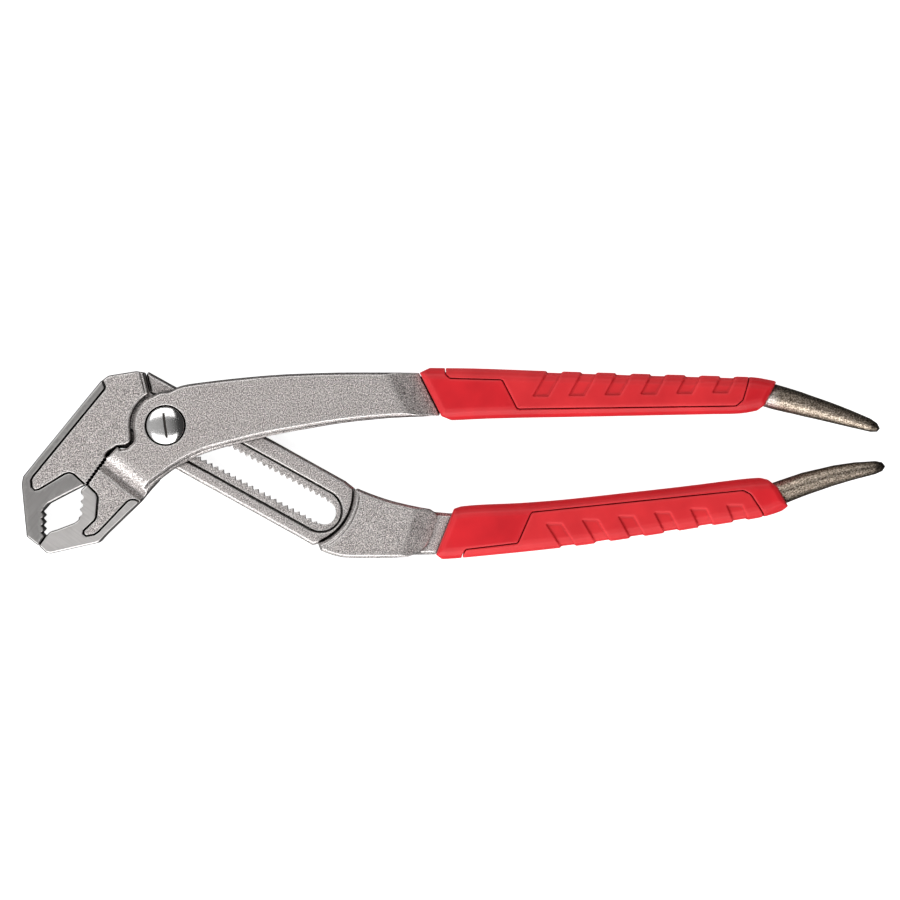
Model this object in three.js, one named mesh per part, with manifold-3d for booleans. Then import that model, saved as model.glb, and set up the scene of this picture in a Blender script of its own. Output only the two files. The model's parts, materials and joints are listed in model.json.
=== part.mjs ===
// Tongue and groove pliers with V jaws, 12 inch class, lying on their back.
// Millimetres. The origin is on the pivot axis, in the plane that the tool lies on. +X runs
// from the jaws to the handle ends, +Z comes out of the front face.
// Two steel halves: one carries the toothed slot and the left jaw, the other is bolted to a
// block that slides in the slot and carries the right jaw. Each handle has a moulded grip.

import * as THREE from 'three';
import { mergeVertices } from 'three/addons/utils/BufferGeometryUtils.js';
import Module from 'manifold-3d';

const wasm = await Module();
wasm.setup();

// ---- driving dimensions ----
const GAP = 0.3;
const CURVE_STEPS = 4;

const slotAngle = THREE.MathUtils.degToRad(29);
const backFace = 3;
const frontFace = 13;
const shankFace = 8.3;
const shankTopEdge = 13.7;
const shankBottomEdge = -12.1;

const toothPitch = 2.4;
const toothHeight = 1.3;
const toothLean = 0.66;
const rackRoot = 5.2;
const rackStart = -4 * toothPitch;
const slotTeeth = 31;
const slotEnd = rackStart + slotTeeth * toothPitch;
const slotEndRadius = 4.2;
const pocketEnd = 63.4;
const pocketHalfWidth = 8;
const pocketDepth = 1.3;
const blockTeeth = 6;
const toothGap = 0.4;

const armBack = shankFace + GAP;
const armFront = 14.2;
const rightJawFront = 12.6;
const boreRadius = 4.2;
const boltRadius = boreRadius - GAP;
const headRadius = 6.9;
const headTop = 15.65;
const driverSlot = { length: 9, width: 1, depth: 0.9, turn: THREE.MathUtils.degToRad(8) };
const counterbore = { radius: 7.35, floor: 11.4 };
const maxOpening = THREE.MathUtils.degToRad(30);

const jawGap = 0.35;
const serration = { depth: 1.2, fine: 0.6, fineReach: 4.5 };
const groove = { width: 0.7, depth: 0.9 };
const footGroove = { width: 0.9, depth: 0.9 };
const edgeLine = { width: 0.4, depth: 0.35, inset: 1.9 };

const gripThickness = 16;
const gripRounding = 4;
const mouthRounding = 2;
const padThickness = 1.4;
const recess = { depth: 0.6, count: 6, width: 5.8 };
const core = { back: 3.6, front: 10.8 };
const tipStart = 214;
const tipRadii = [[0, 4.5], [0.1, 4.7], [0.33, 4.35], [0.58, 3.7], [0.75, 3.15], [0.92, 2.4], [0.975, 1.6]];

// ---- materials ----
const finishes = {
  forgedSteel: { color: 0xaba6a2, roughness: 0.5, metalness: 1 },
  polishedSteel: { color: 0xe2e2e2, roughness: 0.14, metalness: 1 },
  platedSteel: { color: 0xb9bbbd, roughness: 0.32, metalness: 1 },
  redShell: { color: 0xc01c26, roughness: 0.42, metalness: 0 },
  redPad: { color: 0xcf2b31, roughness: 0.62, metalness: 0 },
};

// ---- outlines ----
// A closed outline. [x, y] is a sharp corner, [x, y, r] is a corner rounded by r, and a list
// of points is a smooth curve through them.
function outline(...steps) {
  const shape = new THREE.Shape();
  let started = false;
  const isCurve = (step) => Array.isArray(step[0]);
  const firstOf = (step) => new THREE.Vector2(...(isCurve(step) ? step[0] : step));
  const lastOf = (step) => new THREE.Vector2(...(isCurve(step) ? step.at(-1) : step));
  const reach = (point) => {
    if (started) shape.lineTo(point.x, point.y);
    else shape.moveTo(point.x, point.y);
    started = true;
  };
  steps.forEach((step, i) => {
    if (isCurve(step)) {
      reach(firstOf(step));
      shape.splineThru(step.slice(1).map(([x, y]) => new THREE.Vector2(x, y)));
      return;
    }
    const corner = firstOf(step);
    const radius = step[2] ?? 0;
    if (radius === 0) {
      reach(corner);
      return;
    }
    const before = lastOf(steps.at(i - 1)).sub(corner).normalize();
    const after = firstOf(steps[(i + 1) % steps.length]).sub(corner).normalize();
    const halfAngle = Math.acos(THREE.MathUtils.clamp(before.dot(after), -1, 1)) / 2;
    const cut = radius / Math.tan(halfAngle);
    const end = corner.clone().addScaledVector(after, cut);
    reach(corner.clone().addScaledVector(before, cut));
    shape.quadraticCurveTo(corner.x, corner.y, end.x, end.y);
  });
  return shape;
}

// Points on a circle, from one angle to another in degrees.
function arc(x, y, radius, from, to, count) {
  return Array.from({ length: count + 1 }, (_, i) => {
    const angle = THREE.MathUtils.degToRad(THREE.MathUtils.lerp(from, to, i / count));
    return [x + radius * Math.cos(angle), y + radius * Math.sin(angle)];
  });
}

// A band of one width along an open line of points, for a groove or a ledge.
function ribbon(points, width) {
  const line = points.map(([x, y]) => new THREE.Vector2(x, y));
  const side = (sign) => line.map((point, i) => {
    const ahead = line[Math.min(i + 1, line.length - 1)];
    const behind = line[Math.max(i - 1, 0)];
    const along = ahead.clone().sub(behind).normalize();
    const offset = sign * width / 2;
    return [point.x - along.y * offset, point.y + along.x * offset];
  });
  return outline(...side(1), ...side(-1).reverse());
}

// A row of V notches cut into an edge. The notches point to the left of the line's direction.
function comb([x0, y0], [x1, y1], count, depth) {
  const start = new THREE.Vector2(x0, y0);
  const along = new THREE.Vector2(x1 - x0, y1 - y0);
  const into = new THREE.Vector2(-along.y, along.x).normalize();
  const place = (t, d) => start.clone().addScaledVector(along, t).addScaledVector(into, d).toArray();
  const outside = -0.4;
  const points = [place(0, outside)];
  for (let i = 0; i < count; i += 1) {
    points.push(place(i / count, 0), place((i + 0.5) / count, depth));
  }
  points.push(place(1, 0), place(1, outside));
  return outline(...points);
}

// ---- solids ----
function toSolid(geometry) {
  const bare = geometry.clone();
  bare.deleteAttribute('normal');
  bare.deleteAttribute('uv');
  const merged = mergeVertices(bare, 1e-4);
  return new wasm.Manifold(new wasm.Mesh({
    numProp: 3,
    vertProperties: new Float32Array(merged.attributes.position.array),
    triVerts: new Uint32Array(merged.index.array),
  }));
}

function toGeometry(solid) {
  const mesh = solid.getMesh();
  const geometry = new THREE.BufferGeometry();
  geometry.setAttribute('position', new THREE.BufferAttribute(mesh.vertProperties, 3));
  geometry.setIndex(new THREE.BufferAttribute(mesh.triVerts, 1));
  geometry.computeVertexNormals();
  return geometry;
}

// A flat plate between two heights. Its edges are rounded or chamfered by bevel, in as many
// steps, and its outline is moved outwards by grow.
function plateGeometry(shape, low, high, { bevel = 0, steps = 1, grow = 0 } = {}) {
  const edge = bevel || (grow ? 0.05 : 0);
  const geometry = new THREE.ExtrudeGeometry(shape, {
    depth: high - low - 2 * edge,
    curveSegments: CURVE_STEPS,
    bevelEnabled: edge > 0,
    bevelThickness: edge,
    bevelSize: edge,
    bevelOffset: grow - edge,
    bevelSegments: steps,
  });
  return geometry.translate(0, 0, low + edge);
}

const plate = (shape, low, high, edges) => toSolid(plateGeometry(shape, low, high, edges));

// The same, drawn in the slot's own frame: x along the slot, y across it.
const slotPlate = (shape, low, high, edges) =>
  toSolid(plateGeometry(shape, low, high, edges).rotateZ(-slotAngle));

// A side view, distance against height, carried right across the tool. It trims a plate's
// thickness. The distance is measured from a place in the plane of the tool, along a heading.
function sideProfile(shape, [x, y] = [0, 0], heading = 0) {
  const reachAcross = 120;
  const geometry = new THREE.ExtrudeGeometry(shape, {
    depth: reachAcross, curveSegments: CURVE_STEPS, bevelEnabled: false,
  });
  geometry.rotateX(Math.PI / 2).translate(0, reachAcross / 2, 0);
  return toSolid(geometry.rotateZ(heading).translate(x, y, 0));
}

// A solid of revolution about Z, from [radius, height] points that start and end on the axis.
function turned(profile, sides = 32) {
  const points = profile.map(([radius, height]) => new THREE.Vector2(radius, height));
  return toSolid(new THREE.LatheGeometry(points, sides).rotateX(Math.PI / 2));
}

const disc = (radius, low, high, sides) =>
  turned([[0, low], [radius, low], [radius, high], [0, high]], sides);

const unite = (first, ...rest) => rest.reduce((sum, solid) => sum.add(solid), first);
const carve = (body, ...cuts) => cuts.reduce((left, solid) => left.subtract(solid), body);

function named(name, solid, finish) {
  const mesh = new THREE.Mesh(toGeometry(solid), new THREE.MeshStandardMaterial(finishes[finish]));
  mesh.name = name;
  return mesh;
}

// ---- the toothed slot and the block that meshes with it ----
// The leaning teeth along one edge of the slot, from one place to another along it.
function toothedEdge(start, teeth, rootDistance, side) {
  const points = [];
  for (let i = 0; i < teeth; i += 1) {
    points.push([start + i * toothPitch, side * rootDistance]);
    points.push([start + (i + toothLean) * toothPitch, side * (rootDistance - toothHeight)]);
  }
  points.push([start + teeth * toothPitch, side * rootDistance]);
  return points;
}

const slotShape = outline(
  ...toothedEdge(rackStart, slotTeeth, rackRoot, -1),
  ...arc(slotEnd, 0, slotEndRadius, -90, 90, 14),
  ...toothedEdge(rackStart, slotTeeth, rackRoot, 1).reverse(),
);
const pocketStart = -14;
const pocketShape = outline(
  [pocketStart, -pocketHalfWidth, 3],
  ...arc(pocketEnd, 0, pocketHalfWidth, -90, 90, 16),
  [pocketStart, pocketHalfWidth, 3],
);
const pocketGroove = ribbon(
  [
    [pocketStart + 3, -pocketHalfWidth + groove.width / 2],
    ...arc(pocketEnd, 0, pocketHalfWidth - groove.width / 2, -90, 90, 16),
    [pocketStart + 3, pocketHalfWidth - groove.width / 2],
  ],
  groove.width,
);
const webBack = backFace + pocketDepth;
const webFront = shankFace - pocketDepth;

// ---- handle ends: round bars that taper and bend a little ----
function handleTip({ y, slope, bend, length, grow = 0 }) {
  const profile = tipRadii.map(([t, radius]) => new THREE.Vector2(radius + grow, t * length));
  profile.unshift(new THREE.Vector2(0, 0));
  profile.push(new THREE.Vector2(0, length + grow));
  const geometry = new THREE.LatheGeometry(profile, 20).rotateZ(-Math.PI / 2);
  const position = geometry.attributes.position;
  for (let i = 0; i < position.count; i += 1) {
    const along = position.getX(i);
    position.setY(i, position.getY(i) + slope * along + bend * along * along);
  }
  return toSolid(geometry.translate(tipStart, y, gripThickness / 2));
}

const upperTip = { y: 11.6, slope: -0.248, bend: -0.0011, length: 42.8 };
const lowerTip = { y: -27.05, slope: 0.448, bend: -0.00385, length: 44.7 };

// ---- slotted half: left jaw, slotted shank, lower handle ----
const closingFace = { foot: [-28.5, -21], head: [-21.7, -11.6] };
const serrationFloor = frontFace - serration.fineReach;
const tipFace = { outer: [-45.8, -43], inner: [-43.5, -39.7] };

const leftJaw = outline(
  tipFace.outer,
  [-49.9, -39.9, 0.8],
  [-51.7, -21, 2.2],
  [-51.2, -18.3, 1.5],
  [-23.5, 15.7, 2],
  [-20.6, 17.9, 2.5],
  [-10.5, 19.5, 1],
  [-7.9, 19.1],
  ...arc(0, 0, 12.9, 118, 190, 10),
  [-12.6, -5.8, 1],
  [-14.4, -7, 0.8],
  [[-17.6, -7.3], [-18.7, -8.1], [-19.9, -8.7], [-21, -9.5], [-21.6, -10.5], closingFace.head],
  closingFace.foot,
  [-42, -28, 0.8],
  [-43.5, -29.7, 0.6],
  tipFace.inner,
);

// The left jaw's foot carries on below the boss, and closes the back of the notch above the
// closing face.
const heel = outline([-18.3, -7], [-17.3, -8.15], [-13.9, -8.2], [-9.6, -8.75], [-8, -5], [-13, -3]);
const notchFloor = outline([-23.5, -11], closingFace.head, [-18.05, -8.3], [-17.6, -7.2], [-22.5, -8]);
const notchFloorTop = 5.5;

const leftJawGroove = [[-23.2, 17.4], [-21.7, 13.8], [-22, 12.9], [-47.4, -18.1], [-48.2, -19.6],
  [-48, -22.1], [-46.9, -23.2], [-45.4, -22.9], [-36.3, -17.4], [-34.6, -16.9], [-33, -17.4],
  [-28.6, -21.4]];

// The thick parts rise from the shank in two steps: the left jaw's and the shoulder of the neck.
const jawStep = [[-7.9, 19.1], [-6.05, 11.6]];
const shoulderPlace = { x: 47.8, y: -23.7, radius: 20 };
const alongShoulder = (inset, from, to, count) =>
  arc(shoulderPlace.x, shoulderPlace.y, shoulderPlace.radius + inset, from, to, count);
const alongJawStep = (inset) => jawStep.map(([x, y]) => [x - inset, y]);

const shoulder = arc(53.3, 2.4, 20, 32, -47, 12);
const shank = outline(
  [-15.2, shankBottomEdge],
  [61.5, shankBottomEdge],
  ...shoulder.toReversed(),
  [66, shankTopEdge],
  [-15.2, shankTopEdge],
);

const neck = outline(
  [[68.6, -22.6], [73.2, -24.5], [78.6, -26.4], [84, -27.9], [89.4, -29.1], [94.8, -30.1]],
  [[97.3, -31.8], [97.3, -34.2], [95.6, -38.4], [93.4, -43], [90.4, -45.8], [86.4, -47.3]],
  [[80.4, -47.5], [66, -47.5], [60.6, -46.7], [55.6, -44.9]],
  ...alongShoulder(0, -70, 1, 10),
);
const neckEdge = { place: [95, -38.8], heading: THREE.MathUtils.degToRad(-18) };
const neckSlope = outline([-16, 14], [-16, 13.1], [-7.8, 12.95, 5], [0.5, 10.85], [6, 10.3], [6, 14]);
const lowerCore = outline(
  [90, -30.6],
  [101.5, -31.6, 2],
  [112, -31.8, 4],
  [160, -28, 30],
  [216, -22.4],
  [216, -30.4],
  [205, -31.8],
  [160, -38, 30],
  [112, -43.6, 4],
  [99, -46.3, 2],
  [84, -46.6],
);

function slottedHalf() {
  const body = unite(
    slotPlate(shank, backFace, shankFace, { bevel: 0.9 }),
    plate(leftJaw, backFace, frontFace, { bevel: 0.5 }),
    plate(heel, backFace, shankFace),
    plate(notchFloor, backFace, notchFloorTop),
    plate(neck, backFace, frontFace, { bevel: 0.9 }).subtract(
      sideProfile(neckSlope, neckEdge.place, neckEdge.heading),
    ),
    plate(lowerCore, core.back, core.front, { bevel: 1.2 }),
    handleTip(lowerTip),
  );
  const faceGroove = ribbon(leftJawGroove, groove.width);
  const stepFeet = [
    alongShoulder(-footGroove.width / 2, -66, 5, 10),
    alongJawStep(-footGroove.width / 2 - 0.05),
  ];
  const stepLines = [
    alongShoulder(edgeLine.inset, -62, -3, 10),
    alongJawStep(edgeLine.inset - 0.6),
  ];
  const solid = carve(
    body,
    slotPlate(slotShape, backFace - 1, frontFace),
    slotPlate(pocketShape, webFront, shankFace + 1),
    slotPlate(pocketShape, backFace - 1, webBack),
    slotPlate(pocketGroove, webFront - groove.depth / 2, webFront + 0.5),
    slotPlate(pocketGroove, webBack - 0.5, webBack + groove.depth / 2),
    ...stepFeet.map((line) =>
      plate(ribbon(line, footGroove.width), shankFace - footGroove.depth, shankFace + 0.5)),
    ...stepLines.map((line) =>
      plate(ribbon(line, edgeLine.width), frontFace - edgeLine.depth, frontFace + 1)),
    plate(faceGroove, frontFace - groove.depth, frontFace + 1),
    plate(faceGroove, backFace - 1, backFace + groove.depth),
    plate(comb(closingFace.foot, closingFace.head, 9, serration.fine), serrationFloor, gripThickness),
    plate(comb(tipFace.inner, [-43.5, -29.7], 4, serration.depth), 0, gripThickness),
  );
  return named('slotted_jaw_arm', solid, 'forgedSteel');
}

// ---- pivoting half: right jaw, pivot boss, upper handle ----
// Where the thick part of the jaw must stop on the back, so that it clears the shank's edge
// from the closed position to the fully open one.
const shankClearance = -shankBottomEdge + GAP + 0.05;
const edgeNormal = -slotAngle - Math.PI / 2;
const backStepCorner = (() => {
  const angle = edgeNormal - maxOpening / 2;
  const distance = shankClearance / Math.cos(maxOpening / 2);
  return [distance * Math.cos(angle), distance * Math.sin(angle)];
})();
const backStepLength = 12.3;
const backStepDirection = edgeNormal - maxOpening + Math.PI / 2;
const backStepEnd = [
  backStepCorner[0] + backStepLength * Math.cos(backStepDirection),
  backStepCorner[1] + backStepLength * Math.sin(backStepDirection),
];

// A point moved across the closing faces or the tip faces by the gap between the jaws.
const across = ([x, y], distance = jawGap) => [x + 0.81 * distance, y - 0.585 * distance];

const rightJaw = outline(
  across(closingFace.foot),
  across(closingFace.head),
  [-17.7, -8.6, 0.6],
  [-13.9, -8.6],
  backStepCorner,
  backStepEnd,
  [-6, -23.5, 3],
  [-9.3, -27.5, 2],
  [-21.2, -39, 2],
  [-24, -42.1, 3],
  [-41.3, -46, 1.5],
  [-42.9, -45.7, 0.8],
  across(tipFace.outer),
  across(tipFace.inner),
  [-41.7, -38.3, 0.6],
  [-40.2, -37.8, 0.8],
  [-32.7, -34.9, 1],
  [-31.3, -33.8, 0.6],
  [-30.3, -23.3, 0.6],
);

const rightJawGroove = [[-28.6, -20.8], [-24.9, -24.4], [-24.3, -25.8], [-24.9, -32.9], [-25.6, -34.1],
  [-29.4, -37.7], [-29.5, -38.9], [-28.5, -39.7], [-25.6, -39.1], [-24, -38], [-13.8, -27.2],
  [-12.6, -26.6], [-11.1, -26.6], [-8.6, -27.8]];

const armTopEdge = [[2.4, 12.9], [6, 14.3], [12, 15.3], [26.4, 17], [40.8, 18.2], [55.2, 18.8], [66, 19],
  [84, 19]];
const armBottomEdge = [[92, 3.2], [84, 2.9], [76.8, 2.4], [62.4, 0.8], [48, -1.7], [33.6, -4.6],
  [19.2, -8.4], [12, -10.8], [4.8, -14.5], [-2.4, -19.8], [-6, -23.3]];
const armFaceEdge = [[92, 3.6], [84, 3.3], [76.8, 2.9], [62.4, 1.4], [48, -0.9], [33.6, -3.6],
  [19.2, -7.2], [12, -9.5], [4.8, -13.2], [-2.4, -18.2], [-7.6, -22.1]];
const creaseSide = [across([-23.4, -13.9], 0.5), across(closingFace.head, 0.5)];
const boss = [
  ...creaseSide,
  [-17.3, -7.7],
  [-16.2, -8.5, 0.5],
  [-13.6, -8.1, 1],
  [-11.3, -5.9, 1.5],
  ...arc(0, 0, 11.7, 197, 112, 12),
  ...arc(0, 0, 12.2, 100, 86, 3),
];
const armSkirt = outline(...boss, armTopEdge, [90.8, 18.9], [98.3, 3.5], armBottomEdge, [-8.8, -25.8]);
const armFace = outline(...boss, armTopEdge, [90.8, 18.9], [98.3, 3.9], armFaceEdge, [-10.2, -24.1]);
// From the boss the face falls steeply to a crease and rises a little to the jaw.
const crease = { place: [-15.9, -19.05], heading: THREE.MathUtils.degToRad(52.4) };
const creaseFall = outline(
  [-4, 16],
  [[-4, 12.7], [-2.9, 12.6], [-2.2, 12.3], [-1.5, 11.75], [-0.8, 11.35], [0, 11.3], [0.9, 11.9],
    [2, 12.9], [3.2, 13.6], [4.8, 14.05], [7, 14.25]],
  [7, 16],
);
const mouthEdge = { place: [95, 11], heading: THREE.MathUtils.degToRad(27) };
const mouthSlope = outline([-18, 15.5], [-18, 14.5], [-10.5, 14.1, 8], [4, 10.9], [4, 15.5]);
const armBackPart = outline(
  armTopEdge.slice(4),
  [90.8, 18.7],
  [98.3, 3.7],
  armBottomEdge.slice(0, 5),
);
const upperCore = outline(
  [88, 17.8],
  [98, 17.4, 2],
  [108, 16.4, 4],
  [216, 14.6],
  [216, 7],
  [108, 5.6, 4],
  [101, 4.4, 2],
  [88, 4.2],
);
const armThickness = outline(
  [-60, armBack],
  [46, armBack, 4],
  [84, core.back, 8],
  [230, core.back],
  [230, armFront],
  [-60, armFront],
);

function pivotingHalf() {
  const armParts = unite(
    plate(armFace, armBack, armFront, { bevel: 0.9 }),
    plate(armSkirt, armBack, armFront - 1.3, { bevel: 0.8, grow: -0.05 }),
    plate(armBackPart, core.back, armBack + 1.5, { bevel: 0.9 }),
  ).intersect(sideProfile(armThickness));
  const body = unite(
    armParts.subtract(sideProfile(mouthSlope, mouthEdge.place, mouthEdge.heading)),
    plate(rightJaw, backFace, rightJawFront, { bevel: 0.5 }),
    plate(upperCore, core.back, core.front, { bevel: 1.2 }),
    handleTip(upperTip),
  );
  const faceGroove = ribbon(rightJawGroove, groove.width);
  const foot = across(closingFace.foot);
  const head = across(closingFace.head);
  const jawEnd = outline([-40, -50], [0, -50], [0, -14], [-9, -7], [-40, -7]);
  const creaseCut = sideProfile(creaseFall, crease.place, crease.heading)
    .intersect(plate(jawEnd, core.front, gripThickness));
  const solid = carve(
    body,
    disc(boreRadius, 0, gripThickness + 1),
    disc(counterbore.radius, counterbore.floor, gripThickness + 1, 40),
    creaseCut,
    plate(faceGroove, rightJawFront - groove.depth, armFront),
    plate(faceGroove, backFace - 1, backFace + groove.depth),
    plate(comb(head, foot, 9, serration.fine), serrationFloor, gripThickness),
    plate(comb([-30.4, -24.3], [-31.2, -33], 3, serration.depth), 0, gripThickness),
  );
  return named('pivot_jaw_arm', solid, 'forgedSteel');
}

// ---- pivot hardware ----
function pivotBolt() {
  const underHead = counterbore.floor + 1;
  const dome = [[headRadius, underHead + 0.2], [headRadius, 13.8], [6.4, 14.6], [5.2, 15.15],
    [3.6, 15.45], [1.8, 15.6]];
  const body = turned([[0, 0], [boltRadius - 0.4, 0], [boltRadius, 0.4], [boltRadius, underHead],
    ...dome, [0, headTop]], 40);
  const { length, width, depth, turn } = driverSlot;
  const slotOutline = outline([-width / 2, -length / 2], [width / 2, -length / 2],
    [width / 2, length / 2], [-width / 2, length / 2]);
  const cut = toSolid(plateGeometry(slotOutline, headTop - depth, headTop + 1).rotateZ(turn));
  return named('pivot_bolt', carve(body, cut), 'polishedSteel');
}

function ring(name, outer, low, high) {
  return named(name, carve(disc(outer, low, high), disc(boreRadius, low - 1, high + 1)), 'platedSteel');
}

const slideWasher = () => ring('slide_washer', 7.6, backFace + 0.3, webBack - 0.1);
const waveWasher = () => ring('wave_washer', 6.8, counterbore.floor + 0.25, counterbore.floor + 0.75);

function pivotNut() {
  const cornerRadius = 7.5;
  const thickness = 2.9;
  const chamfered = turned([[0, 0], [cornerRadius - 0.9, 0], [cornerRadius, 0.7], [cornerRadius, thickness],
    [0, thickness]]);
  const hexagon = toSolid(new THREE.CylinderGeometry(cornerRadius, cornerRadius, thickness, 6)
    .rotateX(Math.PI / 2).translate(0, 0, thickness / 2));
  const bore = disc(boreRadius, -1, thickness + 1);
  return named('pivot_nut', carve(hexagon.intersect(chamfered), bore), 'platedSteel');
}

function slideBlock() {
  const start = -blockTeeth / 2 * toothPitch;
  const toothed = outline(
    ...toothedEdge(start, blockTeeth, rackRoot - toothGap, -1),
    ...toothedEdge(start, blockTeeth, rackRoot - toothGap, 1).reverse(),
  );
  const flange = outline(
    [start - 1, -pocketHalfWidth + 0.4, 2],
    [-start + 1, -pocketHalfWidth + 0.4, 2],
    [-start + 1, pocketHalfWidth - 0.4, 2],
    [start - 1, pocketHalfWidth - 0.4, 2],
  );
  const body = unite(
    slotPlate(toothed, webBack + 0.1, webFront + 0.5),
    slotPlate(flange, webFront + GAP, shankFace - 0.05),
  );
  return named('toothed_slide_block', carve(body, disc(boreRadius, 0, gripThickness)), 'platedSteel');
}

// ---- grips ----
// Each grip is a hard shell, open at both ends for the handle, with a softer ribbed pad that
// wraps round its outer edge from the front face to the back one.
function grip({ side, body, ends, padEdge, recesses, coreShape, tip }) {
  const inset = (depth, edges) => plate(body, depth, gripThickness - depth, { grow: -depth, ...edges });
  const trim = plate(ends, 0, gripThickness, { bevel: mouthRounding, steps: 2 });
  const outer = plate(body, 0, gripThickness, { bevel: gripRounding, steps: 4 }).intersect(trim);
  const padBed = inset(padThickness + GAP, { bevel: gripRounding - 2, steps: 2 });
  const padInside = inset(padThickness, { bevel: gripRounding - 2, steps: 2 });
  const floor = inset(recess.depth, { bevel: gripRounding - 1, steps: 2 });
  const cavity = unite(
    plate(coreShape, core.back - GAP, core.front + GAP, { bevel: 1.2, grow: GAP }),
    handleTip({ ...tip, grow: GAP }),
  );
  const window = plate(padEdge, -1, gripThickness + 1);
  const windowGrown = plate(padEdge, -1, gripThickness + 1, { grow: GAP });
  const shell = carve(outer, carve(windowGrown, padBed), cavity);
  const dents = recesses.map((shape) => plate(shape, -1, gripThickness + 1).subtract(floor));
  const pad = carve(outer.intersect(window), padInside, ...dents);
  return [named(`${side}_grip_shell`, shell, 'redShell'), named(`${side}_grip_pad`, pad, 'redPad')];
}

// Slanted dents from an inner line to the outer edge of the grip, evenly spaced.
function slantedDents(innerStart, innerEnd, outerStart, outerEnd) {
  const { lerp } = THREE.MathUtils;
  const mix = (from, to, t) => [lerp(from[0], to[0], t), lerp(from[1], to[1], t)];
  return Array.from({ length: recess.count }, (_, i) => {
    const t = i / (recess.count - 1);
    const inner = mix(innerStart, innerEnd, t);
    const outer = mix(outerStart, outerEnd, t);
    return outline(inner, [inner[0] + recess.width, inner[1]], [outer[0] + recess.width, outer[1]], outer);
  });
}

const upperGrip = {
  side: 'upper',
  body: outline(
    [80, 20.7],
    [[93.7, 20.7], [114, 20.4], [136, 19.6], [176, 18.4], [204, 17.6], [212, 17.2], [219, 15.9]],
    [234, 15.9],
    [234, 6],
    [[221, 6], [213, 5.4], [206, 4.3], [192, 4], [156, 3.3], [120, 2.6], [103, 1.9]],
    [80, 1.9],
  ),
  ends: outline([94.6, 30], [94.6, 20.6], [91.1, 18.9], [98.9, 3.4], [102.8, 1.8], [102.8, -10],
    [211, -10], [211, 4.4], [214.9, 7.4], [219, 15.6], [216.4, 17.6], [216.4, 30]),
  padEdge: outline([100.2, 26], [100.6, 18.4, 0.5], [102, 17, 0.5], [120.8, 16.5, 1.2], [126.2, 6, 1.2],
    [204.4, 7.1, 1.5], [206.8, 9.2, 1.5], [209.2, 17.4], [209.6, 26]),
  recesses: slantedDents([131.5, 10.4], [195.8, 11.6], [139.4, 24], [202, 24]),
  coreShape: upperCore,
  tip: upperTip,
};

const lowerGrip = {
  side: 'lower',
  body: outline(
    [80, -31.4],
    [[98, -30.9], [107.7, -28.9], [127.2, -27.9], [141.6, -26.8], [156, -25.3], [177.6, -22.9],
      [192, -21.2], [208, -19.2], [218, -18.6]],
    [234, -18.6],
    [234, -27],
    [[223.3, -29.8], [213.6, -33], [190.9, -36.7], [166, -40.6], [141.2, -44], [106.6, -47.5], [97, -48]],
    [80, -48],
  ),
  ends: outline([107.4, -10], [107.4, -28.6], [103.4, -30], [97, -46.3], [99.4, -48.2], [99.4, -60],
    [220.4, -60], [220.4, -31.4], [223.2, -28.9], [219.4, -22], [216, -19.4], [212, -18.4], [212, -10]),
  padEdge: outline([106.4, -56], [106.6, -46.6], [107.8, -44.5, 0.8], [126.4, -42.3, 1.2],
    [131.3, -31.2, 1.2], [207, -23.4, 1.5], [209.6, -24.8, 1.5], [214.2, -31.8], [214.6, -56]),
  recesses: slantedDents([136.2, -35.1], [200.8, -28.4], [147, -52], [209, -47]),
  coreShape: lowerCore,
  tip: lowerTip,
};

// ---- the assembly ----
const pliers = new THREE.Group();
pliers.name = 'tongue_and_groove_pliers';
pliers.add(slottedHalf(), ...grip(lowerGrip));
pliers.add(slideBlock(), slideWasher());
pliers.add(pivotingHalf(), ...grip(upperGrip));
pliers.add(pivotBolt(), pivotNut(), waveWasher());

export default pliers;
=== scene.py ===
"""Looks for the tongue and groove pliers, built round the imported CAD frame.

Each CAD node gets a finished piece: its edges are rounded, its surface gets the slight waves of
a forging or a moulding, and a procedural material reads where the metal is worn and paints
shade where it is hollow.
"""

import json
import math

import bpy
import numpy as np
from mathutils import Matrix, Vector


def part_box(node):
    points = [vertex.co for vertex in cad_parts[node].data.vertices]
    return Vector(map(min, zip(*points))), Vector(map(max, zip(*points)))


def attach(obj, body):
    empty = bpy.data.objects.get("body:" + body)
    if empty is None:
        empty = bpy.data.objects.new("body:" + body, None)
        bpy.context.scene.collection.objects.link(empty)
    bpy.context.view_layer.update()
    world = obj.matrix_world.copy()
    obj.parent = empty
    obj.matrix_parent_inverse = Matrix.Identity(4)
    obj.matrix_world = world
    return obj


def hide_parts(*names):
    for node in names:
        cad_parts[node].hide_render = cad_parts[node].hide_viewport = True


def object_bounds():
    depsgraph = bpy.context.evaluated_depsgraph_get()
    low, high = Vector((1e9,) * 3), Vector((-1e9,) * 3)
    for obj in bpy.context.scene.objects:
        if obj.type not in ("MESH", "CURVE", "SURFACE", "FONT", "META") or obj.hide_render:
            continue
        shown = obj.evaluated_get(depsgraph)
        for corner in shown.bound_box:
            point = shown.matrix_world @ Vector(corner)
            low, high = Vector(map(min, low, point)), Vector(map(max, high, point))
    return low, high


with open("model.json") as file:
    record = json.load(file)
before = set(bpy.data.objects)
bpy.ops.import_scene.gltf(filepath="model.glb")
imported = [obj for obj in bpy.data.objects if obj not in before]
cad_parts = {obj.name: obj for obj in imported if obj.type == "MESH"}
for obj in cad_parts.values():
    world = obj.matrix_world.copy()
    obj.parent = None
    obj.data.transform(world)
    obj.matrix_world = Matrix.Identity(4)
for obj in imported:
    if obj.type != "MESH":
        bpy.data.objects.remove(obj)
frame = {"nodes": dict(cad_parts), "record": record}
cad_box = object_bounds()
NODE_BODY = {node: body for body, nodes in frame["record"]["behaviour"]["bodies"].items() for node in nodes}

# ---- sizes and places, in metres ----
MM = 0.001
TOOL_LOW, TOOL_HIGH = (Vector(corner) for corner in cad_box)
BOLT_LOW, BOLT_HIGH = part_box("pivot_bolt")
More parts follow.
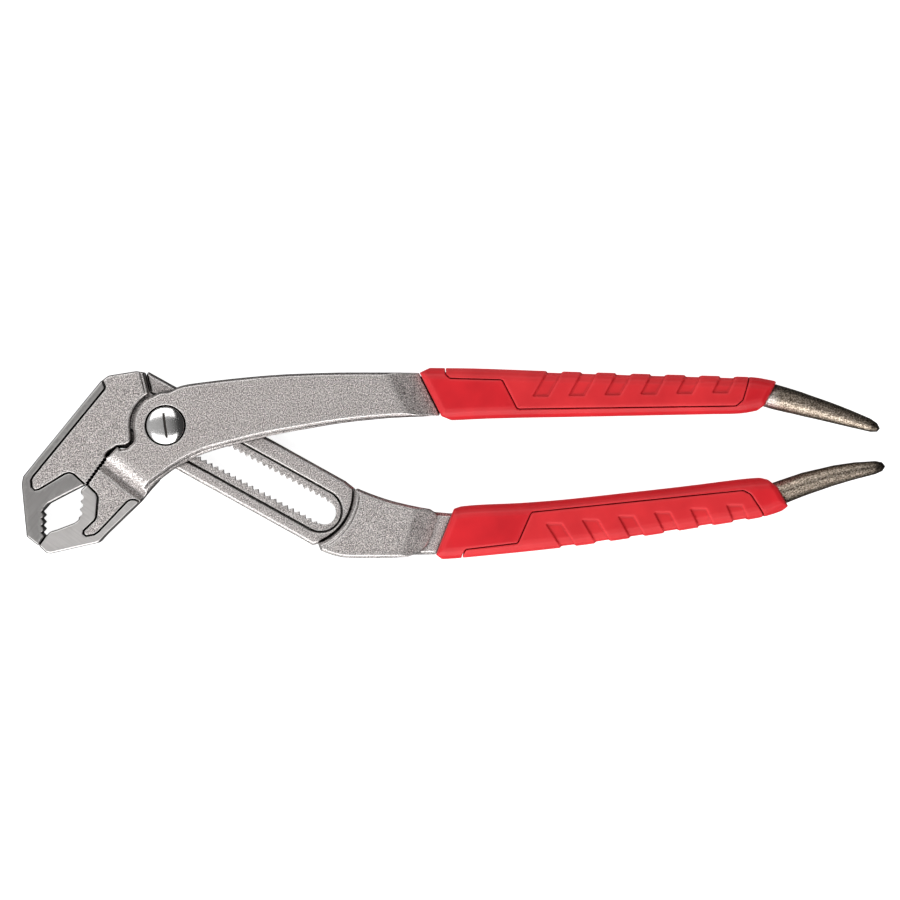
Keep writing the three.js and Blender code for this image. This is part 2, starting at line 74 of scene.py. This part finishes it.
# The handle ends lose their blasted skin from the first of these on, and are burnt from the second.
TIP_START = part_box("upper_grip_shell")[1].x - 4 * MM
TIP_DARK = TOOL_HIGH.x - 9 * MM
# The slot for a screwdriver across the bolt's head.
SLOT_LENGTH, SLOT_WIDTH, SLOT_DEPTH = 9 * MM, 0.9 * MM, 0.85 * MM
SLOT_TURN = math.radians(8)
# The edges of the bolt and of the small steel parts are rounded over this width.
SOFT_EDGE = 0.12 * MM

# ---- the jaws, in millimetres ----
# The line that parts the machined land from the rough forging on each jaw. The rest closes the
# outline of the land, outside the jaw.
LEFT_JAW_LINE = [(-23.2, 17.4), (-21.7, 13.8), (-22, 12.9), (-47.4, -18.1), (-48.2, -19.6), (-48, -22.1),
                 (-46.9, -23.2), (-45.4, -22.9), (-36.3, -17.4), (-34.6, -16.9), (-33, -17.4), (-28.6, -21.4)]
LEFT_LAND_REST = [(-26, -60), (-70, -60), (-70, 40), (-23.2, 40)]
RIGHT_JAW_LINE = [(-28.6, -20.8), (-24.9, -24.4), (-24.3, -25.8), (-24.9, -32.9), (-25.6, -34.1),
                  (-29.4, -37.7), (-29.5, -38.9), (-28.5, -39.7), (-25.6, -39.1), (-24, -38), (-13.8, -27.2),
                  (-12.6, -26.6), (-11.1, -26.6), (-8.6, -27.8)]
RIGHT_LAND_REST = [(-4, -30), (-4, -70), (-70, -70), (-70, -20.8)]

# The closing faces start at the foot, square to the direction across them, and end at this x.
CLOSING_FOOT = (-28.5, -21)
JAW_ACROSS = (0.81, -0.585)
JAW_RIGHT = -20.5
# The CAD keeps a gap between them. Each face moves into it by the shift. The metal behind follows
# less and less, between these two distances from the middle of the gap.
JAW_GAP = 0.35
JAW_SHIFT = 0.13
JAW_FADE = (0.21, 0.77)

# ---- colours, as linear red, green and blue, from dark to light ----
BLASTED_STEEL = ((0.1, 0.09, 0.087), (0.46, 0.424, 0.412), (0.95, 0.89, 0.868))
SCALED_STEEL = ((0.1, 0.077, 0.06), (0.33, 0.268, 0.212), (0.72, 0.62, 0.51))
BURNT_STEEL = (0.03, 0.025, 0.02)
WORN_STEEL = (0.8, 0.78, 0.765)
POLISHED_STEEL = ((0.74, 0.73, 0.72), (0.83, 0.82, 0.81))
# Near black, painted onto the walls and floor of the bolt's driver slot as shade.
PAINTED_SLOT_SHADE = (0.06, 0.055, 0.05)
PLATED_STEEL = ((0.42, 0.42, 0.43), (0.62, 0.62, 0.62))
# Near black, painted into grooves and hollows as shade.
PAINTED_SHADE_BLACK = (0.006, 0.005, 0.004)
SHELL_RED = ((0.54, 0.007, 0.014), (0.7, 0.013, 0.021))
PAD_RED = ((0.58, 0.012, 0.018), (0.72, 0.022, 0.028))
RUBBED_RED = (0.8, 0.07, 0.08)
# Dark red, painted into the grips' grooves as shade.
PAINTED_GROOVE_SHADE_RED = (0.22, 0.003, 0.006)


# ---- meshes ----
def link(name, data):
    thing = bpy.data.objects.new(name, data)
    bpy.context.scene.collection.objects.link(thing)
    return thing


def applied(piece):
    """The piece with its modifiers made part of its mesh."""
    graph = bpy.context.evaluated_depsgraph_get()
    mesh = bpy.data.meshes.new_from_object(piece.evaluated_get(graph))
    piece.modifiers.clear()
    old = piece.data
    piece.data = mesh
    bpy.data.meshes.remove(old)
    return piece


def weld(piece):
    """Joins the corners that the CAD mesh holds once for each face."""
    modifier = piece.modifiers.new("weld", "WELD")
    modifier.merge_threshold = 0.001 * MM


def soften(piece, sharper_than):
    """Rounds the edges that turn by more than an angle in degrees."""
    bevel = piece.modifiers.new("soften", "BEVEL")
    bevel.width = SOFT_EDGE
    bevel.segments = 2
    bevel.angle_limit = math.radians(sharper_than)


def vertex_places(mesh):
    places = np.empty(len(mesh.vertices) * 3, np.float32)
    mesh.vertices.foreach_get("co", places)
    return places.reshape(-1, 3)


def place_vertices(mesh, places):
    mesh.vertices.foreach_set("co", places.ravel())
    mesh.update()


def mark(mesh, name, values, domain="POINT"):
    layer = mesh.attributes.new(name, "FLOAT", domain)
    layer.data.foreach_set("value", values.astype(np.float32))


def spread(values, ends, count):
    """The mean of the neighbours' values at each vertex."""
    a, b = ends
    total = np.bincount(a, values[b], count) + np.bincount(b, values[a], count)
    share = np.bincount(a, minlength=count) + np.bincount(b, minlength=count)
    return total / np.maximum(share, 1)


def mark_bends(mesh, voxel):
    """Writes where the surface bends outwards (edge) and inwards (hollow), from 0 to 1."""
    full_bend = 0.12 / MM
    blur_steps = 2
    count = len(mesh.vertices)
    ends = np.empty(len(mesh.edges) * 2, np.int32)
    mesh.edges.foreach_get("vertices", ends)
    ends = ends.reshape(-1, 2).T
    places = vertex_places(mesh).astype(np.float64)
    normals = np.empty(count * 3, np.float32)
    mesh.vertex_normals.foreach_get("vector", normals)
    normals = normals.reshape(-1, 3)
    pull = np.stack([spread(places[:, i], ends, count) for i in range(3)], 1) - places
    bend = -(pull * normals).sum(1)
    for _ in range(blur_steps):
        bend = spread(bend, ends, count)
    bend /= full_bend * voxel ** 2
    mark(mesh, "edge", np.clip(bend, 0, 1))
    mark(mesh, "hollow", np.clip(-bend, 0, 1))


def inside(places, outline):
    """Which points lie inside an outline in the plane of the tool, both in metres."""
    x, y = places[:, 0], places[:, 1]
    within = np.zeros(len(x), bool)
    # The tiny number keeps a level side from a division by zero.
    tiny = 1e-12
    for (x0, y0), (x1, y1) in zip(outline, outline[1:] + outline[:1]):
        crosses = (y0 > y) != (y1 > y)
        reach = x0 + (y - y0) / (y1 - y0 + tiny) * (x1 - x0)
        within ^= crosses & (x < reach)
    return within


def mark_land(mesh, outline):
    metres = [(x * MM, y * MM) for x, y in outline]
    mark(mesh, "land", inside(vertex_places(mesh), metres))


def hold_inside(mesh, node):
    """Moves the places that the waves pushed outside the CAD node's box back to its faces."""
    low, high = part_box(node)
    place_vertices(mesh, np.clip(vertex_places(mesh), np.array(low), np.array(high)))


def add_waves(piece, height, size):
    """Slight waves, of a height and a size in metres."""
    texture = bpy.data.textures.new(f"{piece.name}_waves", "CLOUDS")
    texture.noise_scale = size
    texture.noise_depth = 2
    displace = piece.modifiers.new("waves", "DISPLACE")
    displace.texture = texture
    displace.strength = height
    displace.mid_level = 0.5


def refined(node, voxel, rounding, wave_height, wave_size, triangles, land=None):
    """A finished piece that stands for a CAD node: rounded edges and a slightly uneven surface.

    The voxel is in metres, and the rounding is a number of smoothing steps. The land is the outline
    of a ground surface, in millimetres.
    """
    source = frame["nodes"][node].data.copy()
    source.materials.clear()
    piece = link(f"{node}_finish", source)
    weld(piece)
    remesh = piece.modifiers.new("remesh", "REMESH")
    remesh.mode = "VOXEL"
    remesh.voxel_size = voxel
    smooth = piece.modifiers.new("smooth", "SMOOTH")
    smooth.factor = 0.5
    smooth.iterations = rounding
    add_waves(piece, wave_height, wave_size)
    applied(piece)
    mark_bends(piece.data, voxel)
    if land:
        mark_land(piece.data, land)
    decimate = piece.modifiers.new("decimate", "DECIMATE")
    decimate.ratio = min(1.0, triangles / (2 * len(piece.data.polygons)))
    applied(piece)
    hold_inside(piece.data, node)
    piece.data.shade_smooth()
    return piece


def spun(name, profile, sides):
    """A round piece on the pivot axis, from (radius, height) points in metres, lowest first."""
    vertices = [(0, 0, profile[0][1])]
    for radius, height in profile:
        for i in range(sides):
            turn = 2 * math.pi * i / sides
            vertices.append((radius * math.cos(turn), radius * math.sin(turn), height))
    vertices.append((0, 0, profile[-1][1]))
    last = len(vertices) - 1
    top = last - sides
    faces = []
    for i in range(sides):
        j = (i + 1) % sides
        faces.append((0, 1 + j, 1 + i))
        for low in range(1, top, sides):
            high = low + sides
            faces.append((low + i, low + j, high + j, high + i))
        faces.append((top + i, top + j, last))
    mesh = bpy.data.meshes.new(name)
    mesh.from_pydata(vertices, [], faces)
    return link(name, mesh)


# ---- materials ----
class Shader:
    """A node material, built one node at a time.

    A socket is given by its number where its name doesn't tell it from its neighbours.
    """

    def __init__(self, name, **surface):
        self.material = bpy.data.materials.new(name)
        self.material.use_nodes = True
        self.tree = self.material.node_tree
        self.surface = self.tree.nodes["Principled BSDF"]
        for socket, value in surface.items():
            self.surface.inputs[socket.replace("_", " ")].default_value = value
        place = self.tree.nodes.new("ShaderNodeTexCoord").outputs["Object"]
        self.place = self.add("VectorMath", {0: place, "Scale": 1 / MM}, operation="SCALE")

    def add(self, kind, inputs, out=0, **settings):
        node = self.tree.nodes.new("ShaderNode" + kind)
        for setting, value in settings.items():
            setattr(node, setting, value)
        for socket, value in inputs.items():
            self.feed(node.inputs[socket], value)
        return node.outputs[out]

    def feed(self, socket, value):
        if isinstance(value, bpy.types.NodeSocket):
            self.tree.links.new(value, socket)
        else:
            socket.default_value = value

    def noise(self, per_mm, detail=3.0, roughness=0.55, place=None):
        return self.add("TexNoise", {"Vector": place or self.place, "Scale": per_mm,
                                     "Detail": detail, "Roughness": roughness})

    def stretched(self, angle, along, across):
        """Places squeezed along one direction in the plane, so that noise becomes streaks."""
        turned = self.add("Mapping", {"Vector": self.place, "Rotation": (0, 0, angle)})
        return self.add("Mapping", {"Vector": turned, "Scale": (along, across, across)})

    def ramp(self, value, positions, colours):
        """Greys or colours against a value."""
        node = self.tree.nodes.new("ShaderNodeValToRGB")
        elements = node.color_ramp.elements
        while len(elements) < len(colours):
            elements.new(0.5)
        for element, position, colour in zip(elements, positions, colours):
            element.position = position
            grey = isinstance(colour, float)
            element.color = (colour, colour, colour, 1) if grey else (*colour, 1)
        self.feed(node.inputs[0], value)
        return node.outputs[0]

    def span(self, value, low, high, to_low, to_high):
        return self.add("MapRange", {0: value, 1: low, 2: high, 3: to_low, 4: to_high})

    def math(self, operation, a, b):
        return self.add("Math", {0: a, 1: b}, operation=operation)

    def between(self, share, a, b):
        """A number from a to b."""
        return self.add("Mix", {0: share, 2: a, 3: b})

    def mix(self, share, a, b, blend="MIX"):
        """A colour from a to b."""
        node = self.tree.nodes.new("ShaderNodeMix")
        node.data_type = "RGBA"
        node.blend_type = blend
        for socket, value in ((0, share), (6, a), (7, b)):
            if isinstance(value, tuple):
                value = (*value, 1)
            self.feed(node.inputs[socket], value)
        return node.outputs[2]

    def marked(self, name):
        return self.add("Attribute", {}, out="Fac", attribute_name=name)

    def painted_crevice_shade(self, reach, open_share, closed_share):
        """Painted shade, from 0 on open surfaces to 1 in grooves narrower than about the reach, half in
        hollows.
        """
        share = self.add("AmbientOcclusion", {"Distance": reach}, out="AO", samples=8)
        groove = self.span(share, open_share, closed_share, 0.0, 1.0)
        hollow = self.math("MULTIPLY", self.marked("hollow"), 0.5)
        return self.math("MAXIMUM", hollow, groove)

    def bump(self, height, depth, normal=None):
        inputs = {"Height": height, "Distance": depth}
        if normal is not None:
            inputs["Normal"] = normal
        return self.add("Bump", inputs)

    def finish(self, **surface):
        for socket, value in surface.items():
            self.feed(self.surface.inputs[socket.replace("_", " ")], value)
        return self.material


def warm_grey(level):
    return (level, level * 0.965, level * 0.945)


def blasted(shader, grain):
    """The colour of the blasted skin: bright and dark specks, in slightly uneven patches."""
    specks = shader.ramp(grain, (0.34, 0.5, 0.64), BLASTED_STEEL)
    patches = shader.ramp(shader.noise(0.12, detail=4), (0.3, 0.7), (0.42, 0.58))
    return shader.mix(0.3, specks, patches, "OVERLAY")


def with_scaled_tips(shader, colour):
    """The colour, taken over into the brown scale of the bare handle ends, burnt at the last."""
    along = shader.add("SeparateXYZ", {0: shader.place})
    scale = shader.ramp(shader.noise(1.8, detail=2, roughness=0.6), (0.34, 0.5, 0.66), SCALED_STEEL)
    burnt = shader.span(along, TIP_DARK / MM, TOOL_HIGH.x / MM, 0.0, 0.8)
    scale = shader.mix(burnt, scale, BURNT_STEEL)
    bare = shader.span(along, TIP_START / MM, TIP_START / MM + 6, 0.0, 1.0)
    return shader.mix(bare, colour, scale)


def forged_steel(name, land_grey_and_painted_sheen, streak_angle):
    """Shot-blasted forging with ground land at the jaws, brighter edges and painted shade in its grooves and
    hollows.
    """
    shader = Shader(name, Metallic=1.0)
    land = shader.marked("land")
    grain = shader.noise(2.4, detail=2, roughness=0.65)
    pits = shader.noise(5.0, detail=2, roughness=0.6)
    streaks = shader.noise(1.0, detail=3, place=shader.stretched(streak_angle, 0.08, 2.6))
    wear = shader.math("MULTIPLY", shader.marked("edge"), shader.span(grain, 0.3, 0.6, 0.4, 1.0))
    painted_crevice_shade = shader.painted_crevice_shade(1.6 * MM, 0.78, 0.52)

    # The land's grey is the ground steel's own grey with painted sheen, set for each jaw.
    ground = shader.ramp(streaks, (0.3, 0.7), (warm_grey(land_grey_and_painted_sheen * 0.92), warm_grey(land_grey_and_painted_sheen * 1.08)))
    colour = shader.mix(land, blasted(shader, grain), ground)
    colour = shader.mix(shader.math("MULTIPLY", wear, 0.45), colour, WORN_STEEL)
    # Painted shade: the colour darkens to near black in grooves, at the foot of steps and in hollows.
    colour = shader.mix(painted_crevice_shade, colour, PAINTED_SHADE_BLACK)
    colour = with_scaled_tips(shader, colour)

    blasted_roughness = shader.span(grain, 0.3, 0.7, 0.5, 0.38)
    ground_roughness = shader.span(streaks, 0.3, 0.7, 0.38, 0.46)
    roughness = shader.between(land, blasted_roughness, ground_roughness)
    roughness = shader.between(wear, roughness, 0.28)
    roughness = shader.math("MAXIMUM", roughness, shader.math("MULTIPLY", painted_crevice_shade, 0.9))

    lumps = shader.between(land, grain, shader.math("MULTIPLY", streaks, 0.2))
    fine = shader.math("MULTIPLY", pits, shader.span(land, 0, 1, 1, 0.1))
    normal = shader.bump(lumps, 0.1 * MM)
    normal = shader.bump(fine, 0.025 * MM, normal=normal)
    return shader.finish(Base_Color=colour, Roughness=roughness, Normal=normal)


def moulded_red(name, reds, roughness, texture_depth):
    """Moulded grip: a fine spark-eroded texture, faint flow marks, painted shade in the grooves."""
    shader = Shader(name, Specular_IOR_Level=0.3)
    flow = shader.noise(0.06, detail=3)
    grain = shader.noise(3.0, detail=2, roughness=0.6)
    painted_crevice_shade = shader.painted_crevice_shade(0.8 * MM, 0.85, 0.5)
    colour = shader.ramp(flow, (0.3, 0.7), reds)
    colour = shader.mix(shader.span(grain, 0.35, 0.65, 0.0, 0.16), colour, reds[0])
    colour = shader.mix(shader.math("MULTIPLY", shader.marked("edge"), 0.18), colour, RUBBED_RED)
    # Painted shade in the grips' grooves.
    colour = shader.mix(shader.math("MULTIPLY", painted_crevice_shade, 0.5), colour, PAINTED_GROOVE_SHADE_RED)
    shine = shader.span(grain, 0.3, 0.7, roughness + 0.06, roughness - 0.05)
    normal = shader.bump(grain, texture_depth)
    return shader.finish(Base_Color=colour, Roughness=shine, Normal=normal)


def polished_steel(name):
    """Bright head with fine turning marks, a few faint scratches and a driver slot painted near black as
    shade.
    """
    shader = Shader(name, Metallic=1.0)
    cut = shader.marked("cut")
    colour = shader.ramp(shader.noise(0.35, detail=3), (0.3, 0.7), POLISHED_STEEL)
    # Painted shade: the driver slot's walls and floor turn near black.
    colour = shader.mix(cut, colour, PAINTED_SLOT_SHADE)
    scratches = shader.noise(1.0, detail=2, place=shader.stretched(0.7, 0.15, 9))
    roughness = shader.span(scratches, 0.35, 0.75, 0.12, 0.26)
    roughness = shader.between(cut, roughness, 0.5)
    flat = shader.add("VectorMath", {0: shader.place, 1: (1, 1, 0)}, operation="MULTIPLY")
    radius = shader.add("VectorMath", {0: flat}, out="Value", operation="LENGTH")
    rings = shader.add("TexNoise", {"W": radius, "Scale": 7.0, "Detail": 2.0}, noise_dimensions="1D")
    normal = shader.bump(rings, 0.004 * MM)
    return shader.finish(Base_Color=colour, Roughness=roughness, Normal=normal)


def plated_steel(name):
    """Zinc-plated small parts, a little cloudy."""
    shader = Shader(name, Metallic=1.0)
    cloud = shader.noise(0.5, detail=4)
    colour = shader.ramp(cloud, (0.3, 0.7), PLATED_STEEL)
    roughness = shader.span(cloud, 0.3, 0.7, 0.28, 0.42)
    normal = shader.bump(shader.noise(5.0, detail=2), 0.015 * MM)
    return shader.finish(Base_Color=colour, Roughness=roughness, Normal=normal)


# ---- pieces ----
def fitted(piece, node, material):
    piece.data.materials.clear()
    piece.data.materials.append(material)
    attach(piece, NODE_BODY[node])
    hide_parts(node)
    return piece


def close_jaws(mesh, way):
    """Brings a jaw's closing face nearly to the other's. The way across is 1 or -1."""
    places = vertex_places(mesh)
    flat = places[:, :2] / MM
    across = np.array(JAW_ACROSS)
    from_gap = np.abs((flat - np.array(CLOSING_FOOT)) @ across - JAW_GAP / 2)
    share = np.interp(from_gap, JAW_FADE, (1, 0)) * (flat[:, 0] < JAW_RIGHT)
    places[:, :2] += np.outer(share * way * JAW_SHIFT * MM, across)
    place_vertices(mesh, places)


def make_forgings():
    # Both jaws are the same ground steel; the darker left land and the lighter right land are painted sheen.
    left = forged_steel("forged_steel_left", land_grey_and_painted_sheen=0.32, streak_angle=math.radians(-50))
    right = forged_steel("forged_steel_right", land_grey_and_painted_sheen=0.6, streak_angle=math.radians(35))
    halves = (("slotted_jaw_arm", LEFT_JAW_LINE + LEFT_LAND_REST, left, 1),
              ("pivot_jaw_arm", RIGHT_JAW_LINE + RIGHT_LAND_REST, right, -1))
    for node, land, steel, closing_way in halves:
        piece = refined(node, voxel=0.17 * MM, rounding=3, wave_height=0.12 * MM, wave_size=8 * MM,
                        triangles=260000, land=land)
        close_jaws(piece.data, closing_way)
        fitted(piece, node, steel)


def make_grips():
    shell = moulded_red("red_shell", SHELL_RED, roughness=0.38, texture_depth=0.012 * MM)
    pad = moulded_red("red_pad", PAD_RED, roughness=0.5, texture_depth=0.02 * MM)
    for side in ("upper", "lower"):
        for part, rubber in (("shell", shell), ("pad", pad)):
            node = f"{side}_grip_{part}"
            piece = refined(node, voxel=0.26 * MM, rounding=6, wave_height=0.1 * MM, wave_size=14 * MM,
                            triangles=90000)
            fitted(piece, node, rubber)


def bolt_profile():
    """One side of the bolt, from its foot to the middle of its head: a shank and a domed head."""
    top = BOLT_HIGH.z
    head_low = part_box("wave_washer")[1].z + 0.25 * MM
    head = (BOLT_HIGH.x - BOLT_LOW.x) / 2
    shank = head - 3 * MM
    rim = top - 1.9 * MM
    chamfer = 0.4 * MM
    corner = 0.25 * MM
    dome = [(head * math.cos(turn), rim + (top - rim) * math.sin(turn))
            for turn in np.linspace(0, math.pi / 2, 25)[:-1]]
    return [(shank - chamfer, BOLT_LOW.z), (shank, BOLT_LOW.z + chamfer), (shank, head_low),
            (head - corner, head_low), (head, head_low + corner), *dome, (0.2 * MM, top)]


def cut_driver_slot(piece):
    """Cuts the slot across the bolt's head and rounds the bolt's sharp edges."""
    x, y = SLOT_WIDTH / 2, SLOT_LENGTH / 2
    heights = (BOLT_HIGH.z - SLOT_DEPTH, BOLT_HIGH.z + 2 * MM)
    corners = [(a * x, b * y, z) for z in heights for a, b in ((-1, -1), (1, -1), (1, 1), (-1, 1))]
    sides = [(i, (i + 1) % 4, (i + 1) % 4 + 4, i + 4) for i in range(4)]
    mesh = bpy.data.meshes.new("driver_slot")
    mesh.from_pydata(corners, [], [(3, 2, 1, 0), (4, 5, 6, 7), *sides])
    cutter = link("driver_slot_cutter", mesh)
    cutter.rotation_euler.z = SLOT_TURN
    slot = piece.modifiers.new("slot", "BOOLEAN")
    slot.object = cutter
    slot.operation = "DIFFERENCE"
    soften(piece, sharper_than=40)
    applied(piece)
    bpy.data.objects.remove(cutter)


def mark_cut(mesh):
    """Marks the walls and the floor of the driver slot."""
    cut = []
    for face in mesh.polygons:
        depth = BOLT_HIGH.z - face.center.z
        near = math.hypot(*face.center.xy) < SLOT_LENGTH / 2 + 0.1 * MM and depth < SLOT_DEPTH * 1.1
        wall = abs(face.normal.z) < 0.5
        floor = depth > SLOT_DEPTH * 0.9
        cut.append(near and (wall or floor))
    mark(mesh, "cut", np.array(cut), "FACE")


def make_bolt():
    piece = spun("pivot_bolt_finish", bolt_profile(), sides=128)
    cut_driver_slot(piece)
    mark_cut(piece.data)
    piece.data.shade_smooth()
    fitted(piece, "pivot_bolt", polished_steel("polished_steel"))


def finish_small_steel():
    steel = plated_steel("plated_steel")
    for node in ("pivot_nut", "slide_washer", "wave_washer", "toothed_slide_block"):
        part = frame["nodes"][node]
        part.data.materials.clear()
        part.data.materials.append(steel)
        weld(part)
        soften(part, sharper_than=35)


# ---- stage ----
def make_floor():
    """A large pale sheet just under the tool. It glows a little, and the steel doesn't mirror it."""
    reach = 4.0
    z = TOOL_LOW.z - 0.05 * MM
    mesh = bpy.data.meshes.new("floor")
    mesh.from_pydata([(-reach, -reach, z), (reach, -reach, z), (reach, reach, z), (-reach, reach, z)],
                     [], [(0, 1, 2, 3)])
    floor = link("floor", mesh)
    paper = bpy.data.materials.new("paper")
    paper.use_nodes = True
    surface = paper.node_tree.nodes["Principled BSDF"].inputs
    surface["Base Color"].default_value = (0.5, 0.5, 0.5, 1)
    surface["Roughness"].default_value = 0.9
    surface["Emission Color"].default_value = (1, 1, 1, 1)
    surface["Emission Strength"].default_value = 0.9
    mesh.materials.append(paper)
    floor.visible_glossy = False


def make_room():
    """A dim room that is brighter above the tool and to its left."""
    world = bpy.data.worlds.new("studio")
    bpy.context.scene.world = world
    world.use_nodes = True
    tree = world.node_tree
    heading = tree.nodes.new("ShaderNodeTexCoord").outputs["Generated"]
    towards = tree.nodes.new("ShaderNodeVectorMath")
    towards.operation = "DOT_PRODUCT"
    towards.inputs[1].default_value = (-0.75, -0.1, 0.65)
    tree.links.new(heading, towards.inputs[0])
    level = tree.nodes.new("ShaderNodeMapRange")
    level.interpolation_type = "SMOOTHSTEP"
    for socket, value in (("From Min", 0.22), ("From Max", 0.98), ("To Min", 0.04), ("To Max", 0.48)):
        level.inputs[socket].default_value = value
    tree.links.new(towards.outputs["Value"], level.inputs["Value"])
    background = tree.nodes["Background"].inputs
    background["Color"].default_value = (1, 1, 1, 1)
    tree.links.new(level.outputs[0], background["Strength"])


def make_lights():
    """Two long soft boxes, one on either side of the tool."""
    middle = Vector((0.1, -0.01, 0.0))
    distance, length = 1.2, 1.7
    # Each box's name, lean from upright in degrees, depth and shift in metres, and power in watts.
    boxes = (("near_box", -53, 1.5, -0.32, 23), ("far_box", 42, 1.0, -0.58, 10))
    for name, lean, depth, shift, power in boxes:
        lamp = bpy.data.lights.new(name, "AREA")
        lamp.shape = "RECTANGLE"
        lamp.size = length
        lamp.size_y = depth
        lamp.energy = power
        box = link(name, lamp)
        angle = math.radians(lean)
        box.location = middle + distance * Vector((0, math.sin(angle), math.cos(angle)))
        box.location.x += shift
        box.rotation_euler = (-angle, 0, 0)


def make_camera():
    """Straight above the tool, far enough away to show it almost without perspective."""
    height = 1.3
    # The picture is this wide at this height above the origin.
    view_width, view_level = 0.324, 8 * MM
    lens = bpy.data.cameras.new("camera")
    lens.sensor_width = 36
    lens.lens = lens.sensor_width * (height - view_level) / view_width
    lens.clip_start = 0.05
    camera = link("camera", lens)
    camera.location = (0.102, -0.0088, height)
    bpy.context.scene.camera = camera


make_camera()
make_room()
make_lights()
make_floor()
make_forgings()
make_grips()
make_bolt()
finish_small_steel()
bpy.context.scene.view_settings.view_transform = "Standard"
